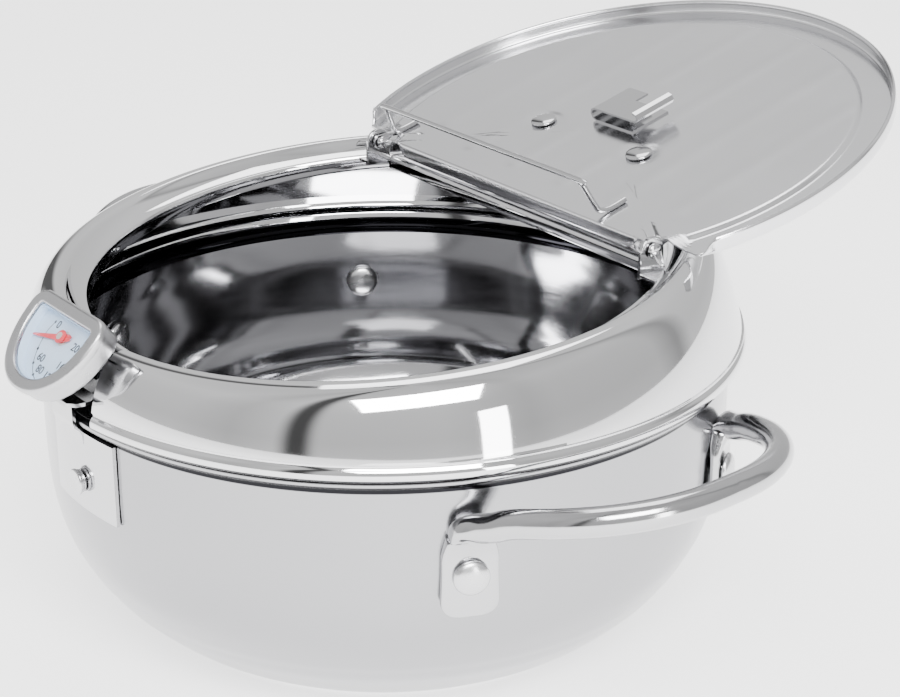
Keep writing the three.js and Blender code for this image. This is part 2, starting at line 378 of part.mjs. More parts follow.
const rev = (a) => [...a].reverse();
{
  let c = solid(prism(dee(0.6), -HEAD_D, -3.7));
  c = c.subtract(solid(prism(dee(1.5), -HEAD_D + 1.0, 0))).subtract(solid(cyl(2.9, -20, 0, 16)));
  add(head, 'thermometer_housing', c, SATIN);
  let z = solid(prism(dee(0), -3.4, -0.5)).add(solid(prism(dee(0.6), -0.6, 0)));
  z = z.subtract(solid(prism(dee(4.6), -5, 1))).subtract(solid(prism(dee(1.2), -5, -1.2)));
  add(head, 'thermometer_bezel', z, SATIN);
  add(head, 'dial_lens', prism(dee(1.6), -2.4, -1.5), new THREE.MeshStandardMaterial({ color: 0xeef5fa, roughness: 0.05, metalness: 0, transparent: true, opacity: 0.25 }));
  add(head, 'dial_plate', prism(dee(1.9), -5.5, -4.9, [circle(0, 0, 1.6, 16).reverse()]), new THREE.MeshStandardMaterial({ color: 0xd9e6f5, roughness: 0.5, metalness: 0 }));
  // clamp collar behind the case
  add(head, 'stem_collar', lathe(closed([[2.9, -HEAD_D - 0.3], [2.9, -HEAD_D - 5.3], [4.6, -HEAD_D - 5.3], [5.2, -HEAD_D - 4.7], [5.2, -HEAD_D - 0.9], [4.6, -HEAD_D - 0.3]]), 20), BRIGHT);
  // probe tube: open at the top inside the case, closed round tip
  add(head, 'probe_stem', lathe([[0, -STEM_L], [1.5, -STEM_L + 0.5], [2.5, -STEM_L + 2.4], [2.5, -7.2], [1.9, -7.2], [1.9, -STEM_L + 3.2], [0, -STEM_L + 1.6]], 16), BRIGHT);
  // bimetal helix near the tip
  const hp = [], turns = 7, z0 = -STEM_L + 6, z1 = -STEM_L + 26;
  for (let i = 0; i <= turns * 10; i++) { const a = (2 * Math.PI * i) / 10; hp.push([1.25 * Math.cos(a), 1.25 * Math.sin(a), z0 + ((z1 - z0) * i) / (turns * 10)]); }
  add(head, 'bimetal_coil', tube(hp, 0.3, 4, turns * 8), new THREE.MeshStandardMaterial({ color: 0xb08a4a, roughness: 0.4, metalness: 1 }));
  // pointer, hub and the staff down the tube
  const red = new THREE.MeshStandardMaterial({ color: 0xc8262c, roughness: 0.45, metalness: 0 });
  const a = rad(NEEDLE_REST), rot = ([x, y]) => [x * Math.cos(a) - y * Math.sin(a), x * Math.sin(a) + y * Math.cos(a)];
  add(head, 'pointer', prism([[-4.6, -1.0], [-2.6, -1.3], [1.5, -1.15], [15.0, -0.42], [15.2, 0], [15.0, 0.42], [1.5, 1.15], [-2.6, 1.3], [-4.6, 1.0]].map(rot), -4.1, -3.75, [circle(0, 0, 0.85, 12).map(rot).reverse()]), red);
  add(head, 'pointer_hub', lathe([[0, -4.55], [1.9, -4.55], [1.9, -4.35], [0.6, -4.35], [0.6, -3.5], [2.3, -3.5], [2.3, -3.2], [1.6, -2.75], [0, -2.7]], 16), red);
  add(head, 'pointer_staff', cyl(0.5, -STEM_L + 27, -4.8, 8), BRIGHT);
}

export default fryer;
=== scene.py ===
import bpy, bmesh, math
from mathutils import Matrix, Vector


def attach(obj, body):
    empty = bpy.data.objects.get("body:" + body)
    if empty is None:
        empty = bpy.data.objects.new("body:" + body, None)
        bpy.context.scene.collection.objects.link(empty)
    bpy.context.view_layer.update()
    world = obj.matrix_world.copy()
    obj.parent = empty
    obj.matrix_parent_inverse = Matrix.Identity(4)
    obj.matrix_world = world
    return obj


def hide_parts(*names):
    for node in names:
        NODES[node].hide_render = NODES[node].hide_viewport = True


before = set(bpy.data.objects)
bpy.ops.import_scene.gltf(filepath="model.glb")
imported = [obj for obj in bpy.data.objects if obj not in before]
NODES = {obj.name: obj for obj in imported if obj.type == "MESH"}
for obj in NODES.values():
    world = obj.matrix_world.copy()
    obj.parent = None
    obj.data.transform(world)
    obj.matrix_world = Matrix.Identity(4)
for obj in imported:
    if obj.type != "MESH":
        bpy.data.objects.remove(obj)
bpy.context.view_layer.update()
MM = 0.001
rad = math.radians

# ------------------------------------------------------------------ camera
cam_data = bpy.data.cameras.new("camera")
cam = bpy.data.objects.new("camera", cam_data)
bpy.context.scene.collection.objects.link(cam)
R_, U_, F_ = Vector((0.60480, 0.79638, 0.00066)), Vector((-0.30524, 0.23104, 0.92382)), Vector((-0.73556, 0.55893, -0.38282))
rot = Matrix((R_, U_, -F_)).transposed()
cam.matrix_world = Matrix.Translation(Vector((566.4, -401.9, 379.5)) * MM) @ rot.to_4x4()
cam_data.sensor_width = 36.0
cam_data.lens = 2103.25 * 36.0 / 900.0
cam_data.clip_start, cam_data.clip_end = 0.01, 60
bpy.context.scene.camera = cam

# ------------------------------------------------------------------ node helpers
def new_mat(name):
    m = bpy.data.materials.new(name)
    m.use_nodes = True
    t = m.node_tree
    t.nodes.clear()
    out = t.nodes.new("ShaderNodeOutputMaterial")
    p = t.nodes.new("ShaderNodeBsdfPrincipled")
    t.links.new(p.outputs[0], out.inputs[0])
    return m, t, p

def math_node(t, op, a, b=None):
    n = t.nodes.new("ShaderNodeMath"); n.operation = op
    for i, v in enumerate((a, b)):
        if v is None: continue
        if isinstance(v, (int, float)): n.inputs[i].default_value = v
        else: t.links.new(v, n.inputs[i])
    return n.outputs[0]

def noise(t, vec, scale, detail=3.0, rough=0.5):
    n = t.nodes.new("ShaderNodeTexNoise")
    n.inputs["Scale"].default_value = scale
    n.inputs["Detail"].default_value = detail
    n.inputs["Roughness"].default_value = rough
    t.links.new(vec, n.inputs["Vector"])
    return n.outputs[0]

def ramp(t, fac, stops):
    n = t.nodes.new("ShaderNodeValToRGB")
    e = n.color_ramp.elements
    while len(e) < len(stops): e.new(0.5)
    for k, (pos, c) in enumerate(stops):
        e[k].position = pos
        e[k].color = (c, c, c, 1) if isinstance(c, (int, float)) else (*c, 1)
    t.links.new(fac, n.inputs[0])
    return n.outputs[0]

def remap(t, v, a, b, lo=0.3, hi=0.7):
    n = t.nodes.new("ShaderNodeMapRange")
    n.inputs["From Min"].default_value, n.inputs["From Max"].default_value = lo, hi
    n.inputs["To Min"].default_value, n.inputs["To Max"].default_value = a, b
    t.links.new(v, n.inputs["Value"])
    return n.outputs[0]

def coords(t):
    return t.nodes.new("ShaderNodeTexCoord").outputs["Object"]

def mapped(t, vec, scale, rot_=(0, 0, 0)):
    n = t.nodes.new("ShaderNodeMapping")
    n.inputs["Scale"].default_value = scale
    n.inputs["Rotation"].default_value = rot_
    t.links.new(vec, n.inputs["Vector"])
    return n.outputs[0]

def polar(t, k_ang=1.0, k_len=1.0, cy=0.0):
    """(angle, height, radius) of a point about the vertical axis, so that a noise can run round the pot."""
    s = t.nodes.new("ShaderNodeSeparateXYZ"); t.links.new(coords(t), s.inputs[0])
    x, y, z = s.outputs
    if cy: y = math_node(t, "SUBTRACT", y, cy)
    a = math_node(t, "ARCTAN2", y, x)
    r = math_node(t, "SQRT", math_node(t, "ADD", math_node(t, "MULTIPLY", x, x), math_node(t, "MULTIPLY", y, y)))
    c = t.nodes.new("ShaderNodeCombineXYZ")
    t.links.new(math_node(t, "MULTIPLY", a, k_ang), c.inputs[0])
    t.links.new(math_node(t, "MULTIPLY", z, k_len), c.inputs[1])
    t.links.new(math_node(t, "MULTIPLY", r, k_len), c.inputs[2])
    return c.outputs[0], z, r

def bump(t, p, height, strength, dist):
    b = t.nodes.new("ShaderNodeBump")
    b.inputs["Strength"].default_value = strength
    b.inputs["Distance"].default_value = dist
    t.links.new(height, b.inputs["Height"])
    t.links.new(b.outputs[0], p.inputs["Normal"])

def paint_shadow_lines(t, colour, z, bands):
    """the colour with painted shade: each band is (z0, z1) in metres, painted near black as a shadow line, soft over a
    third of a millimetre
    """
    for z0, z1 in bands:
        up = remap(t, z, 0.0, 1.0, z0 - 0.0003, z0)
        down = remap(t, z, 1.0, 0.0, z1, z1 + 0.0003)
        mx = t.nodes.new("ShaderNodeMix"); mx.data_type = "RGBA"
        t.links.new(math_node(t, "MULTIPLY", up, down), mx.inputs["Factor"])
        t.links.new(colour, mx.inputs["A"])
        # near-black colour of the painted shade
        mx.inputs["B"].default_value = (0.015, 0.015, 0.017, 1.0)
        colour = mx.outputs["Result"]
    return colour

def brushed_round(name, tint, r0, r1, b_strength, fine=1500.0, blotch=0.02, cy=0.0, shade_bands=()):
    """Stainless sheet with hairlines running round the pot, faint blotches and handling marks."""
    m, t, p = new_mat(name)
    p.inputs["Metallic"].default_value = 1.0
    vec, z, r = polar(t, 0.35, fine * 0.02, cy)
    hair = noise(t, vec, 22.0, 6.0, 0.7)
    cloud = noise(t, coords(t), 26.0, 4.0, 0.55)
    mix = math_node(t, "ADD", math_node(t, "MULTIPLY", hair, 0.7), math_node(t, "MULTIPLY", cloud, 0.3))
    t.links.new(remap(t, mix, r0, r1), p.inputs["Roughness"])
    lo = tuple(c * (1 - blotch) for c in tint)
    col = ramp(t, math_node(t, "ADD", math_node(t, "MULTIPLY", cloud, 0.6), math_node(t, "MULTIPLY", hair, 0.4)), [(0.35, lo), (0.65, tint)])
    # painted shade: the z bands in the band list are painted near black as shadow lines
    t.links.new(paint_shadow_lines(t, col, z, shade_bands), p.inputs["Base Color"])
    bump(t, p, hair, b_strength, 0.00004)
    return m

def polished(name, tint, r0, r1, b_strength=0.02, wave=0.0, scale=30.0, shade_bands=()):
    """Polished steel: sharp reflections with slight waviness, faint polishing lines and cloudy patches."""
    m, t, p = new_mat(name)
    p.inputs["Metallic"].default_value = 1.0
    c = coords(t)
    cloud = noise(t, c, scale, 5.0, 0.6)
    fine = noise(t, mapped(t, c, (1.0, 14.0, 5.0), (0.4, 0.2, 0.6)), 260.0, 3.0, 0.6)
    t.links.new(remap(t, math_node(t, "ADD", math_node(t, "MULTIPLY", cloud, 0.65), math_node(t, "MULTIPLY", fine, 0.35)), r0, r1), p.inputs["Roughness"])
    sp = t.nodes.new("ShaderNodeSeparateXYZ"); t.links.new(c, sp.inputs[0])
    # painted shade: the z bands in the band list are painted near black as shadow lines
    t.links.new(paint_shadow_lines(t, ramp(t, cloud, [(0.3, tuple(x * 0.975 for x in tint)), (0.7, tint)]), sp.outputs[2], shade_bands), p.inputs["Base Color"])
    h = fine
    if wave:
        h = math_node(t, "ADD", math_node(t, "MULTIPLY", fine, 0.1), math_node(t, "MULTIPLY", noise(t, c, 9.0, 1.0, 0.4), wave))
    bump(t, p, h, b_strength, 0.0002)
    return m

STEEL = (0.80, 0.80, 0.815)
# painted shade: near-black bands below the pot's rolled bead and under the ring cover's foot, standing in for the
# shadow there
M_POT_OUT = brushed_round("pot_outside_satin", (0.36, 0.36, 0.372), 0.14, 0.23, 0.10, shade_bands=((0.0942, 0.0974), (0.0988, 0.1100)))
M_POT_IN = brushed_round("pot_inside_polished", (0.50, 0.50, 0.515), 0.04, 0.10, 0.10, fine=1100.0)
# painted shade: near-black band on the underside of the cover's foot and its inner skirt, standing in for the shadow
# gap under the overhang
M_RING = polished("cover_mirror", (0.72, 0.72, 0.73), 0.03, 0.06, 0.03, wave=0.3, scale=18.0, shade_bands=((0.0900, 0.1010),))
M_LID = polished("lid_polished", (0.74, 0.74, 0.755), 0.14, 0.22, 0.03, wave=0.25, scale=24.0)
M_BRIGHT = polished("bright_steel", (0.56, 0.56, 0.57), 0.08, 0.15, 0.03, scale=60.0)
M_HANDLE = polished("handle_rod_polished", (0.48, 0.48, 0.49), 0.09, 0.17, 0.04, scale=45.0)
M_WIRE = polished("drawn_wire", (0.56, 0.56, 0.57), 0.10, 0.2, 0.05, scale=80.0)
M_CASE = polished("case_satin_steel", (0.50, 0.50, 0.51), 0.24, 0.36, 0.10, scale=90.0)
M_BASE = brushed_round("base_disc_satin", (0.70, 0.70, 0.71), 0.28, 0.4, 0.15)

def plain(name, color, rough, metal=0.0, spread=0.06, scale=300.0, b=0.08, coat=0.0):
    m, t, p = new_mat(name)
    p.inputs["Metallic"].default_value = metal
    if coat: p.inputs["Coat Weight"].default_value = coat
    c = coords(t)
    n = noise(t, c, scale, 4.0, 0.6)
    t.links.new(ramp(t, n, [(0.3, tuple(x * (1 - spread) for x in color)), (0.7, color)]), p.inputs["Base Color"])
    t.links.new(remap(t, n, rough * 0.8, rough * 1.2), p.inputs["Roughness"])
    bump(t, p, n, b, 0.00005)
    return m

M_RIVET = plain("rivet_aluminium", (0.62, 0.62, 0.63), 0.26, 1.0, 0.05, 160.0, 0.12)
M_DIAL = plain("dial_enamel", (0.55, 0.69, 0.86), 0.6, 0.0, 0.02, 120.0, 0.02)
M_RED = plain("pointer_red_paint", (0.72, 0.05, 0.07), 0.32, 0.0, 0.08, 500.0, 0.04, coat=0.4)
M_PALE = plain("hub_cap_grey", (0.62, 0.60, 0.58), 0.35, 0.6, 0.05, 400.0, 0.05)
M_INK = plain("dial_ink", (0.035, 0.035, 0.045), 0.55, 0.0, 0.1, 500.0, 0.02)
M_BIM = plain("bimetal_strip", (0.66, 0.52, 0.30), 0.34, 1.0, 0.1, 500.0, 0.1)
M_LENS, _t, _p = new_mat("dial_window_clear")
_p.inputs["Transmission Weight"].default_value = 1.0
_p.inputs["IOR"].default_value = 1.12
_p.inputs["Alpha"].default_value = 0.03
_p.inputs["Specular IOR Level"].default_value = 0.15
_t.links.new(remap(_t, noise(_t, coords(_t), 150.0), 0.01, 0.04), _p.inputs["Roughness"])
_t.links.new(ramp(_t, noise(_t, coords(_t), 90.0), [(0.3, (0.96, 0.98, 1.0)), (0.7, (1.0, 1.0, 1.0))]), _p.inputs["Base Color"])

# ------------------------------------------------------------------ mesh helpers
def make(name, verts, faces, mats, body, slot, replaces=(), sharp=40, mat_index=None, matrix=None):
    me = bpy.data.meshes.new(name)
    me.from_pydata([(v[0] * MM, v[1] * MM, v[2] * MM) for v in verts], [], faces)
    if matrix is not None:
        mm = matrix.copy(); mm.translation = mm.translation * MM
        me.transform(mm)
    for m in (mats if isinstance(mats, (list, tuple)) else [mats]): me.materials.append(m)
    if mat_index:
        for k, i in enumerate(mat_index): me.polygons[k].material_index = i
    bm = bmesh.new(); bm.from_mesh(me)
    bmesh.ops.remove_doubles(bm, verts=bm.verts, dist=1e-6)
    bmesh.ops.dissolve_degenerate(bm, dist=1e-7, edges=bm.edges)
    bmesh.ops.recalc_face_normals(bm, faces=bm.faces)
    bm.to_mesh(me); bm.free()
    for p in me.polygons: p.use_smooth = True
    if sharp: me.set_sharp_from_angle(angle=rad(sharp))
    o = bpy.data.objects.new(name, me)
    bpy.context.scene.collection.objects.link(o)
    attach(o, body)
    if replaces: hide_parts(*replaces)
    return o

def grid_faces(cols, n, wrap_cols=True, wrap_rows=True):
    f = []
    for j in range(cols if wrap_cols else cols - 1):
        k = (j + 1) % cols
        for i in range(n if wrap_rows else n - 1):
            l = (i + 1) % n
            f.append((j * n + i, k * n + i, k * n + l, j * n + l))
    return f

def lathe(profile, seg, closed_profile=False):
    """profile of [r, z]; points with r = 0 are merged to the axis"""
    v = []
    for j in range(seg):
        a = 2 * math.pi * j / seg
        for r, z in profile: v.append((r * math.cos(a), r * math.sin(a), z))
    return v, grid_faces(seg, len(profile), True, closed_profile)

def catmull(points, per):
    out = []
    for i in range(len(points) - 1):
        p0, p1, p2, p3 = points[max(0, i - 1)], points[i], points[i + 1], points[min(len(points) - 1, i + 2)]
        for k in range(per):
            t = k / per
            out.append(tuple(0.5 * (2 * b + (c - a) * t + (2 * a - 5 * b + 4 * c - d) * t * t + (3 * b - a - 3 * c + d) * t ** 3) for a, b, c, d in zip(p0, p1, p2, p3)))
    out.append(tuple(points[-1]))
    return out

def offset(profile, t):
    out = []
    for i, p in enumerate(profile):
        a, b = profile[max(0, i - 1)], profile[min(len(profile) - 1, i + 1)]
        dx, dy = b[0] - a[0], b[1] - a[1]; d = math.hypot(dx, dy) or 1
        out.append((p[0] - dy / d * t, p[1] + dx / d * t) + tuple(p[2:]))
    return out

# ------------------------------------------------------------------ pot
RIM, WALL_R = 100.0, 121.3
outer = catmull([(84.5, 2.9), (88.0, 4.0), (92.0, 6.4), (95.6, 9.3), (100.4, 13.7), (105.2, 18.6), (108.8, 23.5), (112.0, 28.3), (116.6, 37.5), (119.4, 47.5), (120.8, 58), (WALL_R, 70), (WALL_R, 84), (WALL_R, 94.9)], 5)
inner = offset(outer, 1.2)
inner[0] = (84.2, 4.1)
bead = [(122.5 + 1.75 * math.cos(rad(a)), 98.05 + 1.75 * math.sin(rad(a))) for a in range(-100, 181, 20)]
floor_out = [(r, 2.9) for r in (0.0, 20, 40, 60, 78)]
floor_in = [(0.0, 4.4), (20, 4.4), (40, 4.35), (60, 4.2), (78, 4.1)]
prof = floor_out + outer + [(WALL_R + 0.25, 95.8)] + bead + [(120.4, 98.9), (120.1, 97.6)] + inner[::-1] + floor_in[::-1]
v, f = lathe(prof, 288)
n_prof = len(prof)
split = len(floor_out) + len(outer) + 1 + 10
idx = [0 if (k % (n_prof - 1)) < split else 1 for k in range(len(f))]
make("pot_shell", v, f, [M_POT_OUT, M_POT_IN], "pot", "satin_steel", ["pot_body"], 45, idx)
bprof = [(0, 0.35), (30, 0.3), (31, 0.05), (78, 0.0), (81.6, 0.0), (82.7, 0.35), (83.4, 1.1), (83.4, 1.9), (83.0, 2.5), (82.2, 2.7), (0, 2.7)]
make("base_plate", *lathe(bprof, 256), M_BASE, "pot", "satin_steel", ["base_disc"], 50)

# ------------------------------------------------------------------ rivets
def dome(r, h, base, k=9):
    return [(r * math.cos(t), base + h * math.sin(t)) for t in [math.pi / 2 * i / k for i in range(k + 1)]]

def rivet_profile(r_out, h_out, shank, r_in, h_in, g0, g1):
    top = [(r_out - 0.35, g1), (r_out, g1 + 0.3)] + [(r, z) for r, z in dome(r_out, h_out - 0.7, g1 + 0.7)]
    bot = [(r, 2 * g0 - z) for r, z in ([(r_in - 0.3, g0), (r_in, g0 + 0.25)] + dome(r_in, h_in - 0.5, g0 + 0.5))]
    return bot[::-1] + [(shank, g0), (shank, g1)] + top

def radial(angle, r, z):
    """matrix: +Z of the piece becomes the outward radial direction"""
    a = rad(angle)
    out = Vector((math.cos(a), math.sin(a), 0)); up = Vector((0, 0, 1)); side = up.cross(out)
    m = Matrix((side, up, out)).transposed().to_4x4()
    m.translation = Vector((r * math.cos(a), r * math.sin(a), z))
    return m

YAW_R, YAW_L, TAB, LIFT = 4.0, 177.0, 27.7, 7.0
angles = {"right_front": (YAW_R - TAB, 0), "right_rear": (YAW_R + TAB, 0), "left_rear": (YAW_L - TAB, LIFT), "left_front": (YAW_L + TAB, LIFT)}
for k, (a, up_) in angles.items():
    v, f = lathe(rivet_profile(5.9, 3.0, 2.55, 6.2, 2.6, -1.95, 3.95), 72)
    make(f"side_rivet_{k}", v, f, M_RIVET, "pot", "rivet_steel", [f"handle_rivet_{k}"], 50, matrix=radial(a, WALL_R, 66.0 + up_))
# the bracket's rivet is a turned stud with a flat, slightly dished head
sp = [(0, -3.3), (2.6, -3.2), (4.3, -2.7), (4.8, -2.1), (4.8, -1.8), (2.05, -1.8), (2.05, 1.9), (3.7, 1.9), (3.9, 2.1), (3.9, 2.6), (3.6, 2.75), (3.6, 2.95), (4.25, 3.1), (4.4, 3.35), (4.4, 4.0), (4.1, 4.3), (3.2, 4.35), (2.4, 4.15), (0, 4.1)]
make("bracket_stud", *lathe(sp, 64), M_RIVET, "pot", "rivet_steel", ["bracket_rivet"], 35, matrix=radial(-90, WALL_R, 76.0))

# ------------------------------------------------------------------ side handles: one rod, its ends flattened into riveted tabs
REACH, ROD = 163.1, 4.7
def half_handle(rise):
    """centreline stations from the foot of a tab to the middle of the grip, on the -Y side of the handle's own frame"""
    ta = rad(-TAB)
    out, tang = Vector((math.cos(ta), math.sin(ta), 0)), Vector((-math.sin(ta), math.cos(ta), 0))
    def tp(z, dr=0.0): return Vector((0, 0, 1)) * z + out * (WALL_R + 0.3 + 1.65 + dr)
    x0 = WALL_R * math.cos(ta) + 3.0
    zr = lambda x: 82.4 + (14.0 + rise) * max(0.0, (x - x0) / (REACH - x0)) ** 0.7
    A, B = Vector((x0, -58.8, 0)), Vector((REACH, -38.9, 0))
    pts = [tp(z) for z in (52.0, 56, 61, 66, 71, 75.0)] + [tp(79.0, 0.25), tp(82.2, 1.3)]
    u = (A - B).normalized(); w = Vector((0, 1, 0)); ang = u.angle(w); R = 49.7; d = R / math.tan(ang / 2); h = 4 / 3 * math.tan((math.pi - ang) / 4) * R
    for q_ in (8.0, 13.0, 17.5):
        q = A - u * q_; pts.append(Vector((q.x, q.y, zr(q.x) - (1.0 if q_ == 8.0 else 0.25 if q_ == 13.0 else 0))))
    S, E = B + u * d, B + w * d; S1, E1 = S - u * h, E - w * h
    for k in range(9):
        t = k / 8; q = S * (1 - t) ** 3 + S1 * 3 * (1 - t) ** 2 * t + E1 * 3 * (1 - t) * t * t + E * t ** 3
        pts.append(Vector((q.x, q.y, zr(min(q.x, REACH)))))
    pts += [Vector((REACH, 0, 96.4 + rise))]
    return pts, tang

def loft_handle(side):
    raw, W0 = half_handle(3.0 if side < 0 else 0.0)
    pts = [Vector(p) for p in catmull([tuple(p) for p in raw], 7)]
    n = len(pts); S = 32; secs = []
    W = W0.copy()
    length = [0.0]
    for i in range(1, n): length.append(length[-1] + (pts[i] - pts[i - 1]).length)
    for i, p in enumerate(pts):
        T = (pts[min(n - 1, i + 1)] - pts[max(0, i - 1)]).normalized()
        if i == n - 1: T = Vector((0, 1, 0))
        W = (W - T * W.dot(T)).normalized(); D = T.cross(W).normalized()
        s = length[i]
        e = min(1.0, max(0.0, (s - 19.0) / 17.0)); e = e * e * (3 - 2 * e)            # 0 in the tab, 1 in the rod
        half_w = 9.4 * (1 - e) + ROD * e; half_t = 1.6 * (1 - e) + ROD * e
        if s < 5.0: half_w = 9.4 - 4.6 * (1 - math.sqrt(max(0.0, 1 - ((5.0 - s) / 5.0) ** 2)))
        if 5.0 <= s < 30: half_w = max(half_w, half_w) - 0.5 * math.sin(math.pi * (s - 5) / 25) * (1 - e) * 0.6
        pw = 2.0 + 4.5 * (1 - e)
        ring = []
        for k in range(S):
            a = 2 * math.pi * k / S; c, sn = math.cos(a), math.sin(a)
            x = half_w * math.copysign(abs(c) ** (2 / pw), c); y = half_t * math.copysign(abs(sn) ** (2 / pw), sn)
            ring.append(p + W * x + D * y)
        secs.append(ring)
    v, f = [], []
    mir = [[Vector((q.x, -q.y, q.z)) for q in ring] for ring in reversed(secs[:-1])]
    allsec = secs + mir
    for ring in allsec: v += [tuple(q) for q in ring]
    for j in range(len(allsec) - 1):
        flip = j >= len(secs) - 1
        for k in range(S):
            l = (k + 1) % S
            f.append((j * S + k, j * S + l, (j + 1) * S + l, (j + 1) * S + k))
    f.append(tuple(range(S))); last = (len(allsec) - 1) * S
    f.append(tuple(last + k for k in range(S)))
    m = Matrix.Translation((0, 0, LIFT if side < 0 else 0)) @ Matrix.Rotation(rad(YAW_L if side < 0 else YAW_R), 4, "Z")
    nm = "right" if side > 0 else "left"
    return make(f"side_handle_{nm}", v, f, M_HANDLE, "pot", "bright_steel", [f"handle_{nm}"], 38, matrix=m)

for s in (1, -1): loft_handle(s)

# ------------------------------------------------------------------ ring cover
FOLD_R, FOLD_Y, FOLD_H, SLOPE = 101.1, -3.4, 28.07, 0.093
bez = lambda t, a, b, c, d: (1 - t) ** 3 * a + 3 * (1 - t) ** 2 * t * b + 3 * (1 - t) * t * t * c + t ** 3 * d
domeTop = []
ts = [0.235 + (1 - 0.235) * k / 44 for k in range(45)]
for t in ts:
    q = max(0.0, min(1.0, (1 - t) / 0.14))
    seat = -2.2 * max(0.0, math.sin(math.pi * q)) ** 0.7 if t > 0.86 else 0
    domeTop.append((bez(t, 126.5, 127.3, FOLD_R + 19.1, FOLD_R), RIM + bez(t, 3, 3 - 0.32 * 25, FOLD_H + 23.1, FOLD_H) + seat, bez(t, 0, -0.32, 1, 1), bez(t, 0, 0, 1, 1)))
lip = [(FOLD_R - 0.25, RIM + FOLD_H - 0.35, 1, 1), (FOLD_R - 0.45, RIM + FOLD_H - 0.9, 1, 1), (FOLD_R - 0.5, RIM + FOLD_H - 1.8, 1, 1), (FOLD_R - 0.5, RIM + FOLD_H - 5.2, 1, 1), (FOLD_R - 0.4, RIM + FOLD_H - 5.5, 1, 1)]
outside = domeTop + lip
inside = offset(outside, 1.15)[::-1]
k0 = min(range(len(domeTop)), key=lambda i: abs(domeTop[i][0] - 107.2) if domeTop[i][0] < 109 else 99)
flat = lambda L: [(r, z, 0, 0) for r, z in L]
foot_out = flat([(122.3, 100.3), (124.0, 100.12), (125.8, 100.12), (126.5, 100.35), (126.95, 100.95), (127.05, 101.8), (127.0, 102.7), (126.75, 103.6), (126.3, 104.25), (125.75, 104.7), (125.6, 105.1), (125.75, 105.6), (125.95, 106.0)])
foot_in = flat([(124.5, 106.3), (124.2, 104.6), (123.3, 103.5), (118.4, 103.2), (118.0, 102.7), (117.95, 95.0), (118.2, 94.4), (118.65, 94.25), (119.1, 94.4), (119.25, 95.0), (119.3, 101.4), (119.9, 102.0), (121.8, 102.0), (122.2, 101.5)])
loop = foot_out + outside + inside + foot_in
L = len(loop); A_i = len(foot_out) + k0; B_i = len(foot_out) + len(outside) + (len(outside) - 1 - k0)
NOTCH = 15.0
cols = []
d0 = math.degrees(math.asin(NOTCH / 115.0))
nn = 6
offs = [d0 * k / nn for k in range(-nn, nn + 1)]
rest = 240
offs += [d0 + (360 - 2 * d0) * k / rest for k in range(1, rest)]
v = []
for dlt in offs:
    dd = dlt if dlt <= 180 else dlt - 360
    for r, z, tilt, shift in loop:
        db = math.degrees(math.asin(NOTCH / r)); ad = abs(dd)
        if ad <= d0: w = dd * db / d0
        else: w = dd + math.copysign((db - d0) * max(0.0, 1 - (ad - d0) / 25.0), dd)
        a = rad(-90 + w)
        x, y = r * math.cos(a), r * math.sin(a) + FOLD_Y * shift
        v.append((x, y, z + SLOPE * y * tilt))
f = []
C = len(offs)
for j in range(C):
    k = (j + 1) % C
    if j < 2 * nn:   # across the notch only the inner bridge is left
        for i in range(A_i, B_i): f.append((j * L + i, k * L + i, k * L + i + 1, j * L + i + 1))
        f.append((j * L + B_i, k * L + B_i, k * L + A_i, j * L + A_i))
    else:
        for i in range(L): l = (i + 1) % L; f.append((j * L + i, k * L + i, k * L + l, j * L + l))
for j in (0, 2 * nn):
    out_part = [i % L for i in range(B_i, L + A_i + 1)]
    # a single face caps the cut end of the cover's section
    f.append(tuple(j * L + i for i in out_part))
ring_v, ring_f = v, f

def deck_piece():
    """rear deck of the opening with a rolled front edge"""
    v, f = [], []
    R = FOLD_R + 0.2; y0 = 58.5; N = 64
    rows = [(-5.0, 0.0), (-4.4, 0.0), (-1.8, 0.0), (-0.8, 0.25), (-0.15, 0.9), (0.0, 1.9)] + [(0.0, 1.9 + (R - 61.9 - 1.9) * k / 8) for k in range(1, 9)]
    for dz, dy in rows:
        y = y0 + dy; half = math.sqrt(max(1.0, R * R - (y - FOLD_Y) ** 2))
        for k in range(N + 1):
            x = -half + 2 * half * k / N
            yy = y
            if dy > 3: # follow the circle toward the rear
                frac = (dy - 1.9) / (R - 61.9 - 1.9); yb = FOLD_Y + math.sqrt(max(0.0, R * R - x * x));
                half0 = math.sqrt(R * R - (y0 + 1.9 - FOLD_Y) ** 2); x = -half0 + 2 * half0 * k / N
                yb = FOLD_Y + math.sqrt(max(0.0, R * R - x * x)); yy = (y0 + 1.9) * (1 - frac) + yb * frac
            elif dy >= 1.9:
                pass
            v.append((x, yy, RIM + FOLD_H - 0.3 + dz + SLOPE * yy))
    f = grid_faces(len(rows), N + 1, False, False)
    return v, f

def sheet_prism(pts, x0, x1, n_round=0):
    """outline in y-z pushed along x"""
    n = len(pts); v = [(x0, y, z) for y, z in pts] + [(x1, y, z) for y, z in pts]
    f = [tuple(range(n)), tuple(range(2 * n - 1, n - 1, -1))] + [(i, (i + 1) % n, n + (i + 1) % n, n + i) for i in range(n)]
    return v, f

ring = make("ring_shell", ring_v, ring_f, M_RING, "cover", "mirror_steel", ["ring_cover"], 42)
v, f = deck_piece()
deck = make("ring_rear_deck", v, f, M_RING, "cover", "mirror_steel", [], 42)
sm = deck.modifiers.new("sheet", "SOLIDIFY"); sm.thickness = 1.1 * MM; sm.offset = -1.0

